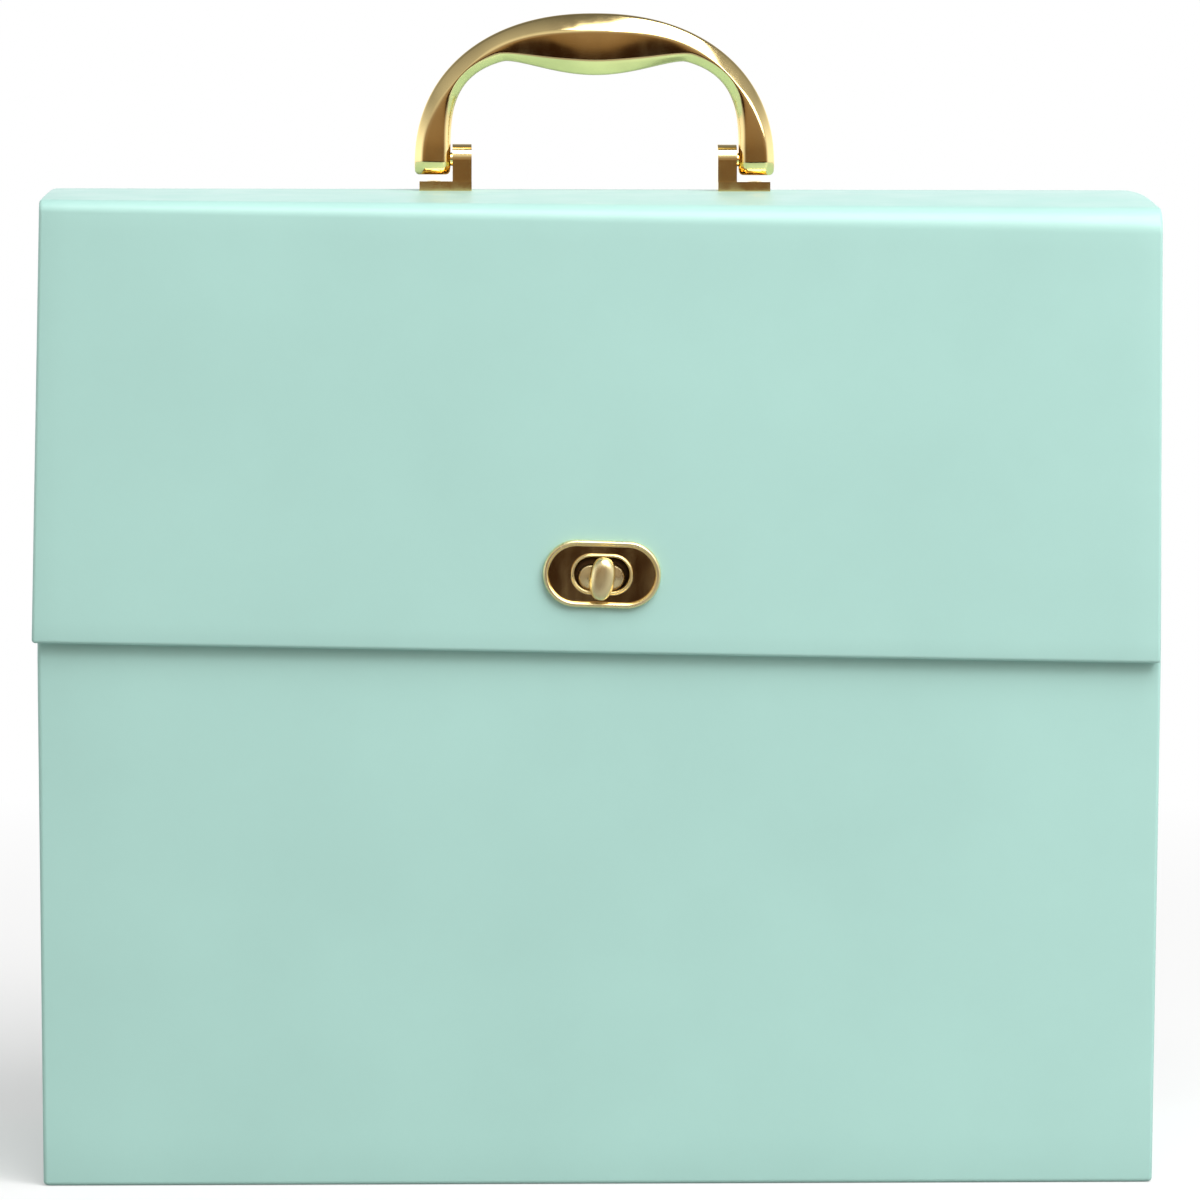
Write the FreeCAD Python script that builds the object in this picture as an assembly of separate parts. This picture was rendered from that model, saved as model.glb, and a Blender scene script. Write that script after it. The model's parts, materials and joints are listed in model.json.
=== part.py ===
"""Sewing box: a wrapped board case with a folding lid, a turn lock, a bail handle and two trays.

Frame: millimetres, +Z up, +X to the right of someone facing the front, -Y towards them.
The origin is the centre of the face that the case stands on.
"""
import FreeCAD
import Part

import os
from math import cos, pi, sin

X_AXIS = FreeCAD.Vector(1, 0, 0)
Y_AXIS = FreeCAD.Vector(0, 1, 0)
Z_AXIS = FreeCAD.Vector(0, 0, 1)
OUT_DIR = "parts"

# Case: boards covered with paper outside and lined inside
CASE_WIDTH = 324.0
CASE_DEPTH = 130.0
CASE_HEIGHT = 280.0
BOARD = 2.5
WRAP = 0.5
LINING = 0.4
CORNER_RADIUS = 0.9
RIM_TURN_IN = 16.0

# Lid panel, bowed upwards about X, with a front flap hinged on a rounded fold
LID_OVERHANG = 0.5
LID_BOARD = 2.6
LID_EDGE_TOP = 284.0
LID_CROWN = 2.0
FOLD_RADIUS = 5.5
FOLD_THICKNESS = 0.6
FLAP_FACE_Y = -69.0
FLAP_BOTTOM = 155.5
COVER_TURN_IN = 12.0
HINGE_STRIP_BOTTOM = 263.0

# Turn lock in the middle of the flap's lower edge
LOCK_Z = 178.0
PLATE_LENGTH = 34.0
PLATE_HEIGHT = 19.4
PLATE_THICKNESS = 1.2
RIM_WIDTH = 1.4
RIM_RISE = 0.7
LIP_RISE = 0.4
LIP_WIDTH = 0.8
KEYHOLE_LENGTH = 16.0
KEYHOLE_HEIGHT = 9.8
BOARD_HOLE_LENGTH = 20.0
BOARD_HOLE_HEIGHT = 13.6
PRONG_RADIUS = 1.1
PRONG_X = 13.4
TURRET_DROP = 1.2
TURRET_LENGTH = 14.2
TURRET_HEIGHT = 8.2
TURRET_FLANGE = 2.6
TURRET_BOSS_RADIUS = 3.2
TURRET_REACH = 4.6
SPINDLE_RADIUS = 1.5
SPINDLE_CLEARANCE = 0.06
SPINDLE_HOLE = 2.0
LOCK_RIVET_X = 5.4
LOCK_RIVET_RADIUS = 0.8
LOCK_RIVET_HEAD = 1.5
BACKING_DISC_RADIUS = 9.0
BACKING_DISC = 0.8
KNOB_WIDTH = 6.7
KNOB_HEIGHT = 12.5
KNOB_THICKNESS = 3.2
KNOB_STANDOFF = 6.0
KNOB_FILLET = 1.0
KNOB_TILT = 7.0
WASHER_RADIUS = 3.8
WASHER_THICKNESS = 0.8
WASHER_GAP = 0.2
SPINDLE_TAIL = 0.6

# Bail handle on two angle brackets
HANDLE_HALF_SPAN = 53.2
HANDLE_INNER_HALF = 42.6
HANDLE_TOP = 52.3
HANDLE_OUTER_CENTRE = 5.5
HANDLE_OUTER_POWER = 2.13
HANDLE_OUTER_STEPS = 16
HANDLE_INNER_CENTRE = 7.5
HANDLE_INNER_POWER = 3.6
HANDLE_INNER_RISE = 32.4
SHOULDER_STEPS = 6
GRIP_STEPS = 8
GRIP_DROP = 5.8
GRIP_HALF_LENGTH = 28.0
GRIP_HALF_DEPTH = 6.5
LEG_HALF_DEPTH = 4.5
PIVOT_HEIGHT = 9.2
PIVOT_RADIUS = 2.0
PIVOT_CLEARANCE = 0.05
PIVOT_START = 37.4
PIVOT_END = 50.0
PIVOT_BORE_END = 50.6
BRACKET_INNER = 36.4
BRACKET_OUTER = 51.8
BRACKET_POST = 5.6
BRACKET_BASE = 2.8
BRACKET_HALF_DEPTH = 6.0
BRACKET_RIVET_X = 47.5
BRACKET_RIVET_Y = 3.0
BRACKET_RIVET_RADIUS = 1.2
RIVET_HEAD_RADIUS = 2.2
RIVET_HEAD = 0.7
HANDLE_BACKING_HALF = (10.0, 7.0)
HANDLE_BACKING = 1.2
HANDLE_BACKING_TOP = 282.4

# Trays, stacked on two ledges, with a pocket for flat things behind them
TRAY_HALF_WIDTH = 156.0
TRAY_FRONT = -60.4
TRAY_BACK = 50.4
TRAY_HEIGHT = 34.4
TRAY_TOP = 259.0
TRAY_GAP = 0.2
TRAY_WALL = 2.4
TRAY_FLOOR = 2.0
DIVIDER = 2.0
DIVIDER_DROP = 4.0
SIDE_COLUMN_X = 60.0
SIDE_COLUMN_SPLIT_Y = -5.0
RIBBON_HALF_WIDTH = 6.0
RIBBON = 0.8
RIBBON_TAIL = 22.0
RIBBON_RISE = 10.0
LEDGE_WIDTH = 10.0
LEDGE_HEIGHT = 8.0
LEDGE_MARGIN = 2.0
PARTITION = 1.6
PARTITION_FRONT = 51.6
PARTITION_TOP = 252.0

# Derived places
HALF_WIDTH = CASE_WIDTH / 2
HALF_DEPTH = CASE_DEPTH / 2
BOARD_X = HALF_WIDTH - WRAP
BOARD_Y = HALF_DEPTH - WRAP
INNER_X = BOARD_X - BOARD
INNER_Y = BOARD_Y - BOARD
LINED_X = INNER_X - LINING
LINED_Y = INNER_Y - LINING
FLOOR_TOP = WRAP + BOARD
LINED_FLOOR = FLOOR_TOP + LINING
BOARD_TOP = CASE_HEIGHT - WRAP
LINING_TOP = CASE_HEIGHT - RIM_TURN_IN
LID_HALF_WIDTH = HALF_WIDTH + LID_OVERHANG
FOLD_Y = FLAP_FACE_Y + FOLD_RADIUS
FOLD_Z = LID_EDGE_TOP - FOLD_RADIUS
CROWN_RADIUS = (FOLD_Y ** 2 + LID_CROWN ** 2) / (2 * LID_CROWN)
LID_TOP = LID_EDGE_TOP + LID_CROWN
CROWN_CENTRE_Z = LID_TOP - CROWN_RADIUS
TURRET_Z = LOCK_Z - TURRET_DROP
FLAP_BOARD_BACK = FLAP_FACE_Y + WRAP + LID_BOARD
FLAP_BACK = FLAP_BOARD_BACK + LINING
PIVOT_Z = LID_TOP + PIVOT_HEIGHT
UPPER_FLOOR = TRAY_TOP - TRAY_HEIGHT
LOWER_TOP = UPPER_FLOOR - TRAY_GAP
LOWER_FLOOR = LOWER_TOP - TRAY_HEIGHT
LEDGE_TOP = LOWER_FLOOR - TRAY_GAP
WASHER_FRONT = -LINED_Y + BACKING_DISC + WASHER_GAP
SPINDLE_BACK = WASHER_FRONT + WASHER_THICKNESS + SPINDLE_TAIL
KNOB_BACK = -HALF_DEPTH - KNOB_STANDOFF


def save(name, shape):
    """Write one node."""
    shape.exportStep(os.path.join(OUT_DIR, name + ".step"))


def block(x0, x1, y0, y1, z0, z1):
    """A box between two values on each axis."""
    corner = FreeCAD.Vector(min(x0, x1), min(y0, y1), min(z0, z1))
    return Part.makeBox(abs(x1 - x0), abs(y1 - y0), abs(z1 - z0), corner)


def rod_x(radius, x0, x1, y, z):
    """A cylinder along X."""
    return Part.makeCylinder(radius, abs(x1 - x0), FreeCAD.Vector(min(x0, x1), y, z), X_AXIS)


def rod_y(radius, y0, y1, x, z):
    """A cylinder along Y."""
    return Part.makeCylinder(radius, abs(y1 - y0), FreeCAD.Vector(x, min(y0, y1), z), Y_AXIS)


def rod_z(radius, z0, z1, x, y):
    """A cylinder along Z."""
    return Part.makeCylinder(radius, abs(z1 - z0), FreeCAD.Vector(x, y, min(z0, z1)), Z_AXIS)


def stadium_y(length, height, y0, y1, z):
    """A round-ended slab along Y, with its long side along X, or along Z where it is taller."""
    radius = min(length, height) / 2
    run_x = length / 2 - radius
    run_z = height / 2 - radius
    ends = [rod_y(radius, y0, y1, -run_x, z - run_z), rod_y(radius, y0, y1, run_x, z + run_z)]
    if run_x:
        middle = block(-run_x, run_x, y0, y1, z - radius, z + radius)
    else:
        middle = block(-radius, radius, y0, y1, z - run_z, z + run_z)
    return middle.fuse(ends).removeSplitter()


def bowed_sheet(depth_outer, depth_inner, half_width, y0, y1):
    """A slice of the bowed lid between two depths below its top surface."""
    start = FreeCAD.Vector(-half_width, 0, CROWN_CENTRE_Z)
    outer = Part.makeCylinder(CROWN_RADIUS - depth_outer, 2 * half_width, start, X_AXIS)
    inner = Part.makeCylinder(CROWN_RADIUS - depth_inner, 2 * half_width, start, X_AXIS)
    window = block(-half_width, half_width, y0, y1, CASE_HEIGHT - BOARD, LID_TOP + BOARD)
    return window.common(outer).cut(inner)


def make_case():
    """The case: base, four walls, the paper outside and the lining inside."""
    save("base_paper", block(-BOARD_X, BOARD_X, -BOARD_Y, BOARD_Y, 0, WRAP))
    save("base_board", block(-INNER_X, INNER_X, -INNER_Y, INNER_Y, WRAP, FLOOR_TOP))
    save("back_wall", block(-INNER_X, INNER_X, INNER_Y, BOARD_Y, WRAP, BOARD_TOP))
    front = block(-INNER_X, INNER_X, -BOARD_Y, -INNER_Y, WRAP, BOARD_TOP)
    save("front_wall", front.cut(lock_holes()))
    save("case_wrap", case_wrap())

    save("floor_lining", block(-INNER_X, INNER_X, -INNER_Y, INNER_Y, FLOOR_TOP, LINED_FLOOR))
    save("back_lining", block(-INNER_X, INNER_X, LINED_Y, INNER_Y, LINED_FLOOR, LINING_TOP))
    sheet = block(-INNER_X, INNER_X, -INNER_Y, -LINED_Y, LINED_FLOOR, LINING_TOP)
    save("front_lining", sheet.cut(lock_holes()))
    for side, sign in (("left", -1), ("right", 1)):
        wall = block(sign * INNER_X, sign * BOARD_X, -BOARD_Y, BOARD_Y, WRAP, BOARD_TOP)
        save(side + "_wall", wall)
        lining = block(sign * LINED_X, sign * INNER_X, -LINED_Y, LINED_Y, LINED_FLOOR, LINING_TOP)
        save(side + "_lining", lining)
        ledge = block(
            sign * (LINED_X - LEDGE_WIDTH), sign * LINED_X,
            -LINED_Y + LEDGE_MARGIN, PARTITION_FRONT - LEDGE_MARGIN,
            LEDGE_TOP - LEDGE_HEIGHT, LEDGE_TOP,
        )
        save(side + "_ledge", ledge)
    partition = block(
        -LINED_X, LINED_X, PARTITION_FRONT, PARTITION_FRONT + PARTITION, LINED_FLOOR, PARTITION_TOP
    )
    save("rear_partition", partition)
    strip = block(
        -BOARD_X, BOARD_X, HALF_DEPTH, HALF_DEPTH + WRAP, HINGE_STRIP_BOTTOM, LID_EDGE_TOP - WRAP
    )
    save("rear_hinge_strip", strip)


def case_wrap():
    """The paper round the four walls, over their rim and a little way down inside."""
    outer = block(-HALF_WIDTH, HALF_WIDTH, -HALF_DEPTH, HALF_DEPTH, WRAP, CASE_HEIGHT)
    uprights = [e for e in outer.Edges if abs(e.tangentAt(e.FirstParameter).z) > 0.99]
    outer = outer.makeFillet(CORNER_RADIUS, uprights)
    boards = block(-BOARD_X, BOARD_X, -BOARD_Y, BOARD_Y, WRAP, BOARD_TOP)
    between_boards = block(-INNER_X, INNER_X, -INNER_Y, INNER_Y, LINING_TOP, BOARD_TOP)
    hollow = block(-LINED_X, LINED_X, -LINED_Y, LINED_Y, LINING_TOP, CASE_HEIGHT)
    return outer.cut(boards.cut(between_boards)).cut([hollow, lock_holes()])


def lock_holes():
    """What the front wall loses for the lock's spindle and its two rivets."""
    holes = [rod_y(SPINDLE_HOLE, -HALF_DEPTH - 1, -LINED_Y + 1, 0, TURRET_Z)]
    for x in (-LOCK_RIVET_X, LOCK_RIVET_X):
        holes.append(rod_y(LOCK_RIVET_RADIUS, -HALF_DEPTH - 1, -LINED_Y + 1, x, TURRET_Z))
    return Part.makeCompound(holes)


def make_lock():
    """The turret on the case, the turn button in it, and the plate round it on the flap."""
    face = -HALF_DEPTH
    flange = stadium_y(TURRET_LENGTH, TURRET_HEIGHT, face, face - TURRET_FLANGE, TURRET_Z)
    boss = rod_y(TURRET_BOSS_RADIUS, face, face - TURRET_REACH, 0, TURRET_Z)
    bore = rod_y(SPINDLE_RADIUS + SPINDLE_CLEARANCE, face, face - TURRET_REACH, 0, TURRET_Z)
    rivets = []
    for x in (-LOCK_RIVET_X, LOCK_RIVET_X):
        shank = rod_y(LOCK_RIVET_RADIUS, face - TURRET_FLANGE, -LINED_Y + BACKING_DISC, x, TURRET_Z)
        tail_front = -LINED_Y + BACKING_DISC
        tail = rod_y(LOCK_RIVET_HEAD, tail_front, tail_front + LOCK_RIVET_RADIUS, x, TURRET_Z)
        rivets.append(shank.fuse(tail))
    save("lock_turret", flange.fuse(boss).cut([bore, *rivets]))
    save("lock_rivets", Part.makeCompound(rivets))
    disc = rod_y(BACKING_DISC_RADIUS, -LINED_Y, -LINED_Y + BACKING_DISC, 0, TURRET_Z)
    save("lock_backing_plate", disc.cut(lock_holes()))

    save("button_spindle", rod_y(SPINDLE_RADIUS, KNOB_BACK, SPINDLE_BACK, 0, TURRET_Z))
    knob_front = KNOB_BACK - KNOB_THICKNESS
    knob = stadium_y(KNOB_WIDTH, KNOB_HEIGHT, KNOB_BACK, knob_front, TURRET_Z)
    knob.rotate(FreeCAD.Vector(0, 0, TURRET_Z), Y_AXIS, KNOB_TILT)
    front_edges = [e for e in knob.Edges if e.BoundBox.YMax < KNOB_BACK - KNOB_THICKNESS / 2]
    save("turn_knob", knob.makeFillet(KNOB_FILLET, front_edges))
    washer_back = WASHER_FRONT + WASHER_THICKNESS
    washer = rod_y(WASHER_RADIUS, WASHER_FRONT, washer_back, 0, TURRET_Z)
    hole = rod_y(SPINDLE_RADIUS, WASHER_FRONT, washer_back, 0, TURRET_Z)
    save("spindle_washer", washer.cut(hole))

    plate_face = FLAP_FACE_Y - PLATE_THICKNESS
    plate = stadium_y(PLATE_LENGTH, PLATE_HEIGHT, FLAP_FACE_Y, plate_face, LOCK_Z)
    rim_face = plate_face - RIM_RISE
    rim = stadium_y(PLATE_LENGTH, PLATE_HEIGHT, plate_face, rim_face, LOCK_Z)
    field = stadium_y(
        PLATE_LENGTH - 2 * RIM_WIDTH, PLATE_HEIGHT - 2 * RIM_WIDTH, plate_face, rim_face, LOCK_Z
    )
    lip = stadium_y(
        KEYHOLE_LENGTH + 2 * LIP_WIDTH, KEYHOLE_HEIGHT + 2 * LIP_WIDTH, plate_face,
        plate_face - LIP_RISE, LOCK_Z,
    )
    save("lock_face_plate", plate.fuse([rim.cut(field), lip]).cut(keyhole()))
    save("face_plate_prongs", Part.makeCompound(prongs()))


def keyhole():
    """The hole through the face plate that the turn button passes when it is level."""
    return stadium_y(KEYHOLE_LENGTH, KEYHOLE_HEIGHT, FLAP_FACE_Y - PLATE_HEIGHT, FLAP_BACK, LOCK_Z)


def board_hole():
    """The wider hole through the flap that the turret stands in."""
    front = FLAP_FACE_Y - PLATE_THICKNESS
    return stadium_y(BOARD_HOLE_LENGTH, BOARD_HOLE_HEIGHT, front, FLAP_BACK, LOCK_Z)


def prongs():
    """The two prongs that hold the lock's face plate on the flap."""
    return [rod_y(PRONG_RADIUS, FLAP_FACE_Y, FLAP_BACK, x, LOCK_Z) for x in (-PRONG_X, PRONG_X)]


def make_lid():
    """The bowed lid panel: its board, the paper over it and the lining under it."""
    board_x = LID_HALF_WIDTH - WRAP
    board_bottom = WRAP + LID_BOARD
    rivets = bracket_rivets()
    board = bowed_sheet(WRAP, board_bottom, board_x, FOLD_Y, BOARD_Y)
    whole = bowed_sheet(0, board_bottom, LID_HALF_WIDTH, FOLD_Y, HALF_DEPTH)
    lining_x = board_x - COVER_TURN_IN
    lining = bowed_sheet(board_bottom, board_bottom + LINING, lining_x, FOLD_Y, BOARD_Y)
    save("lid_wrap", whole.cut([board, *rivets]))
    save("lid_board", board.cut(rivets))
    save("lid_lining", lining.cut(rivets))


def make_flap():
    """The front flap and the rounded fold that hinges it to the lid."""
    board_x = LID_HALF_WIDTH - WRAP
    board = block(
        -board_x, board_x, FLAP_FACE_Y + WRAP, FLAP_BOARD_BACK, FLAP_BOTTOM + WRAP, FOLD_Z
    )
    whole = block(
        -LID_HALF_WIDTH, LID_HALF_WIDTH, FLAP_FACE_Y, FLAP_BOARD_BACK, FLAP_BOTTOM, FOLD_Z
    )
    lining_x = board_x - COVER_TURN_IN
    lining = block(
        -lining_x, lining_x, FLAP_BOARD_BACK, FLAP_BACK, FLAP_BOTTOM + COVER_TURN_IN, FOLD_Z
    )
    openings = [board_hole(), *prongs()]
    save("flap_wrap", whole.cut([board, *openings]))
    save("flap_board", board.cut(openings))
    save("flap_lining", lining.cut(openings))

    outer = rod_x(FOLD_RADIUS, -LID_HALF_WIDTH, LID_HALF_WIDTH, FOLD_Y, FOLD_Z)
    inner = rod_x(FOLD_RADIUS - FOLD_THICKNESS, -LID_HALF_WIDTH, LID_HALF_WIDTH, FOLD_Y, FOLD_Z)
    quarter = block(-LID_HALF_WIDTH, LID_HALF_WIDTH, FLAP_FACE_Y, FOLD_Y, FOLD_Z, LID_EDGE_TOP)
    save("front_fold_strip", quarter.common(outer).cut(inner))


def bracket_rivets():
    """The four rivets that hold the brackets on the lid, as separate solids."""
    head_bottom = LID_TOP + BRACKET_BASE
    tail_top = HANDLE_BACKING_TOP - HANDLE_BACKING
    rivets = []
    for x in (-BRACKET_RIVET_X, BRACKET_RIVET_X):
        for y in (-BRACKET_RIVET_Y, BRACKET_RIVET_Y):
            shank = rod_z(BRACKET_RIVET_RADIUS, tail_top, head_bottom, x, y)
            head = rod_z(RIVET_HEAD_RADIUS, head_bottom, head_bottom + RIVET_HEAD, x, y)
            tail = rod_z(RIVET_HEAD_RADIUS, tail_top - RIVET_HEAD, tail_top, x, y)
            rivets.append(shank.fuse([head, tail]))
    return rivets


def make_brackets():
    """Both angle brackets, with their pivot pins, backing plates and rivets."""
    rivets = bracket_rivets()
    save("bracket_rivets", Part.makeCompound(rivets))
    for side, sign in (("left", -1), ("right", 1)):
        post_outer = sign * (BRACKET_INNER + BRACKET_POST)
        inner = sign * BRACKET_INNER
        base = block(
            inner, sign * BRACKET_OUTER, -BRACKET_HALF_DEPTH, BRACKET_HALF_DEPTH,
            LID_TOP, LID_TOP + BRACKET_BASE,
        )
        post = block(inner, post_outer, -LEG_HALF_DEPTH, LEG_HALF_DEPTH, LID_TOP, PIVOT_Z)
        knuckle = rod_x(LEG_HALF_DEPTH, inner, post_outer, 0, PIVOT_Z)
        pin = rod_x(PIVOT_RADIUS, sign * PIVOT_START, sign * PIVOT_END, 0, PIVOT_Z)
        save(side + "_bracket", base.fuse([post, knuckle]).removeSplitter().cut([pin, *rivets]))
        save(side + "_pivot_pin", pin)
        middle_x = sign * (BRACKET_INNER + BRACKET_OUTER) / 2
        half_x, half_y = HANDLE_BACKING_HALF
        backing = block(
            middle_x - half_x, middle_x + half_x, -half_y, half_y,
            HANDLE_BACKING_TOP - HANDLE_BACKING, HANDLE_BACKING_TOP,
        )
        save(side + "_backing_plate", backing.cut(rivets))


def superellipse(x, half_span, rise, power):
    """The height of a superellipse at x."""
    return rise * (1 - (abs(x) / half_span) ** power) ** (1 / power)


def handle_outer(t):
    """A point of the handle's outer outline, for t from 0 at the right leg to pi at the left."""
    reach = 2 / HANDLE_OUTER_POWER
    x = HANDLE_HALF_SPAN * abs(cos(t)) ** reach * (1 if cos(t) > 0 else -1)
    z = (HANDLE_TOP - HANDLE_OUTER_CENTRE) * abs(sin(t)) ** reach
    return FreeCAD.Vector(x, 0, LID_TOP + HANDLE_OUTER_CENTRE + z)


def handle_inner(x):
    """A point of the handle's inner outline, where the grip swells down in the middle."""
    swell = GRIP_DROP * max(0, 1 - (x / GRIP_HALF_LENGTH) ** 2)
    rise = superellipse(x, HANDLE_INNER_HALF, HANDLE_INNER_RISE, HANDLE_INNER_POWER)
    return FreeCAD.Vector(x, 0, LID_TOP + HANDLE_INNER_CENTRE + rise - swell)


def curve_through(points):
    """A smooth edge through points."""
    curve = Part.BSplineCurve()
    curve.interpolate(points)
    return curve.toShape()


def handle_profile():
    """The handle's face in the XZ plane."""
    foot_z = PIVOT_Z - LEG_HALF_DEPTH
    turns = [pi * n / HANDLE_OUTER_STEPS for n in range(HANDLE_OUTER_STEPS + 1)]
    outer = curve_through([handle_outer(t) for t in turns])
    shoulder = [1 - cos(pi / 2 * n / SHOULDER_STEPS) for n in range(SHOULDER_STEPS + 1)]
    run = HANDLE_INNER_HALF - GRIP_HALF_LENGTH
    right = [handle_inner(GRIP_HALF_LENGTH + run * sin(pi / 2 * s)) for s in shoulder]
    left = [FreeCAD.Vector(-p.x, 0, p.z) for p in right]
    grip_x = [GRIP_HALF_LENGTH * (2 * n / GRIP_STEPS - 1) for n in range(GRIP_STEPS + 1)]
    grip = [handle_inner(x) for x in grip_x]
    corners = {}
    for sign in (-1, 1):
        corners[sign] = (
            FreeCAD.Vector(sign * HANDLE_HALF_SPAN, 0, foot_z),
            FreeCAD.Vector(sign * HANDLE_INNER_HALF, 0, foot_z),
        )
    edges = [
        outer,
        Part.makeLine(handle_outer(0), corners[1][0]),
        Part.makeLine(*corners[1]),
        Part.makeLine(corners[1][1], right[-1]),
        curve_through(right),
        curve_through(grip),
        curve_through(left),
        Part.makeLine(left[-1], corners[-1][1]),
        Part.makeLine(*corners[-1]),
        Part.makeLine(corners[-1][0], handle_outer(pi)),
    ]
    return Part.Face(Part.Wire(Part.__sortEdges__(edges)))


def make_handle():
    """The bail handle: its profile, a grip that swells in plan, and rounded feet."""
    thickness = FreeCAD.Vector(0, 2 * GRIP_HALF_DEPTH, 0)
    front = FreeCAD.Vector(0, -GRIP_HALF_DEPTH, 0)
    bail = handle_profile().translated(front).extrude(thickness)

    reach = HANDLE_HALF_SPAN + 1
    swells = []
    for sign in (-1, 1):
        ends = [
            FreeCAD.Vector(-reach, sign * LEG_HALF_DEPTH, 0),
            FreeCAD.Vector(-GRIP_HALF_LENGTH, sign * LEG_HALF_DEPTH, 0),
            FreeCAD.Vector(0, sign * GRIP_HALF_DEPTH, 0),
            FreeCAD.Vector(GRIP_HALF_LENGTH, sign * LEG_HALF_DEPTH, 0),
            FreeCAD.Vector(reach, sign * LEG_HALF_DEPTH, 0),
        ]
        swells.append(ends)
    near, far = swells
    plan_edges = [
        Part.makeLine(near[0], near[1]),
        Part.Arc(near[1], near[2], near[3]).toShape(),
        Part.makeLine(near[3], near[4]),
        Part.makeLine(near[4], far[4]),
        Part.makeLine(far[4], far[3]),
        Part.Arc(far[3], far[2], far[1]).toShape(),
        Part.makeLine(far[1], far[0]),
        Part.makeLine(far[0], near[0]),
    ]
    plan = Part.Face(Part.Wire(plan_edges)).translated(FreeCAD.Vector(0, 0, LID_TOP))
    plan_block = plan.extrude(FreeCAD.Vector(0, 0, HANDLE_TOP + 1))
    side = block(-reach, reach, -reach, reach, PIVOT_Z, PIVOT_Z + HANDLE_TOP)
    side = side.fuse(rod_x(LEG_HALF_DEPTH, -reach, reach, 0, PIVOT_Z))
    bores = []
    for sign in (-1, 1):
        radius = PIVOT_RADIUS + PIVOT_CLEARANCE
        bores.append(rod_x(radius, sign * BRACKET_INNER, sign * PIVOT_BORE_END, 0, PIVOT_Z))
    save("handle", bail.common(plan_block).common(side).cut(bores).removeSplitter())


def make_tray(name, floor_z, dividers):
    """One open tray: its floor, four walls and dividers."""
    top = floor_z + TRAY_HEIGHT
    wall_bottom = floor_z + TRAY_FLOOR
    inner_x = TRAY_HALF_WIDTH - TRAY_WALL
    inner_front = TRAY_FRONT + TRAY_WALL
    inner_back = TRAY_BACK - TRAY_WALL
    floor = block(-TRAY_HALF_WIDTH, TRAY_HALF_WIDTH, TRAY_FRONT, TRAY_BACK, floor_z, wall_bottom)
    save(name + "_floor", floor)
    save(name + "_front", block(-inner_x, inner_x, TRAY_FRONT, inner_front, wall_bottom, top))
    save(name + "_back", block(-inner_x, inner_x, inner_back, TRAY_BACK, wall_bottom, top))
    for side, sign in (("left", -1), ("right", 1)):
        end = block(
            sign * inner_x, sign * TRAY_HALF_WIDTH, TRAY_FRONT, TRAY_BACK, wall_bottom, top
        )
        save(name + "_" + side, end)
    divider_top = top - DIVIDER_DROP
    for divider, (x0, x1, y0, y1) in dividers.items():
        save(name + "_" + divider, block(x0, x1, y0, y1, wall_bottom, divider_top))


def make_trays():
    """Both trays: five compartments above, two below, and ribbon pulls inside the ends of each."""
    inner_x = TRAY_HALF_WIDTH - TRAY_WALL
    inner_front = TRAY_FRONT + TRAY_WALL
    inner_back = TRAY_BACK - TRAY_WALL
    half = DIVIDER / 2
    upper = {}
    for side, sign in (("left", -1), ("right", 1)):
        near = sign * (SIDE_COLUMN_X - half)
        far = sign * (SIDE_COLUMN_X + half)
        upper[side + "_divider"] = (near, far, inner_front, inner_back)
        split = SIDE_COLUMN_SPLIT_Y
        upper[side + "_cross_divider"] = (far, sign * inner_x, split - half, split + half)
    make_tray("upper_tray", UPPER_FLOOR, upper)
    make_tray("lower_tray", LOWER_FLOOR, {"divider": (-half, half, inner_front, inner_back)})

    pull_y = (TRAY_FRONT + TRAY_BACK) / 2 + 2 * RIBBON_HALF_WIDTH
    for name, top, rise in (("upper_tray", TRAY_TOP, RIBBON_RISE), ("lower_tray", LOWER_TOP, 0)):
        pulls = []
        for sign in (-1, 1):
            pull = block(
                sign * inner_x, sign * (inner_x - RIBBON),
                pull_y - RIBBON_HALF_WIDTH, pull_y + RIBBON_HALF_WIDTH,
                top - RIBBON_TAIL, top + rise,
            )
            pulls.append(pull)
        save(name + "_ribbons", Part.makeCompound(pulls))


os.makedirs(OUT_DIR, exist_ok=True)
make_case()
make_lock()
make_lid()
make_flap()
make_brackets()
make_handle()
make_trays()
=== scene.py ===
"""The looks of the sewing box: papered board case, folding lid, gold lock and handle, lined trays.

Lengths are written in millimetres and turned into metres as each mesh is made. Places come from
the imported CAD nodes.
"""

import json
from math import cos, pi, radians, sin, sqrt

import bmesh
import bpy
from mathutils import Matrix, Vector


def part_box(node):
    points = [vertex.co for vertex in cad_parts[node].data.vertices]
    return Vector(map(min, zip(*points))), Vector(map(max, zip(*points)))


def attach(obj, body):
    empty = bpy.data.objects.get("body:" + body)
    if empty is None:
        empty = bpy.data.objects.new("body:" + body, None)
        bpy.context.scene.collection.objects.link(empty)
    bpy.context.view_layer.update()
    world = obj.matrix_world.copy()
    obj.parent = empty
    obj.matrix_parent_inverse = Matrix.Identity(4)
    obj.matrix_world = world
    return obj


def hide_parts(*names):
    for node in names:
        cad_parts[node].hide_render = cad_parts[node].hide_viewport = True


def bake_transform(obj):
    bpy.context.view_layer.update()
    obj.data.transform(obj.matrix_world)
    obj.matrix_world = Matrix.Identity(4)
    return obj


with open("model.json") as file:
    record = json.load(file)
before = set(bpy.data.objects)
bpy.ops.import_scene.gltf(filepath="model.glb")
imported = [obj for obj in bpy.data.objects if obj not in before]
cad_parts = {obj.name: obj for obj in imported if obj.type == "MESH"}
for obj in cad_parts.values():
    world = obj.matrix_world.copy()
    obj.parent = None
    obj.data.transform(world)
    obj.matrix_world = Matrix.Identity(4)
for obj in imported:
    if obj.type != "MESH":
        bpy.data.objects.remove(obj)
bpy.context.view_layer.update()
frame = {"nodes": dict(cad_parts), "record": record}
NODES = frame["nodes"]
MM = 0.001


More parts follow.
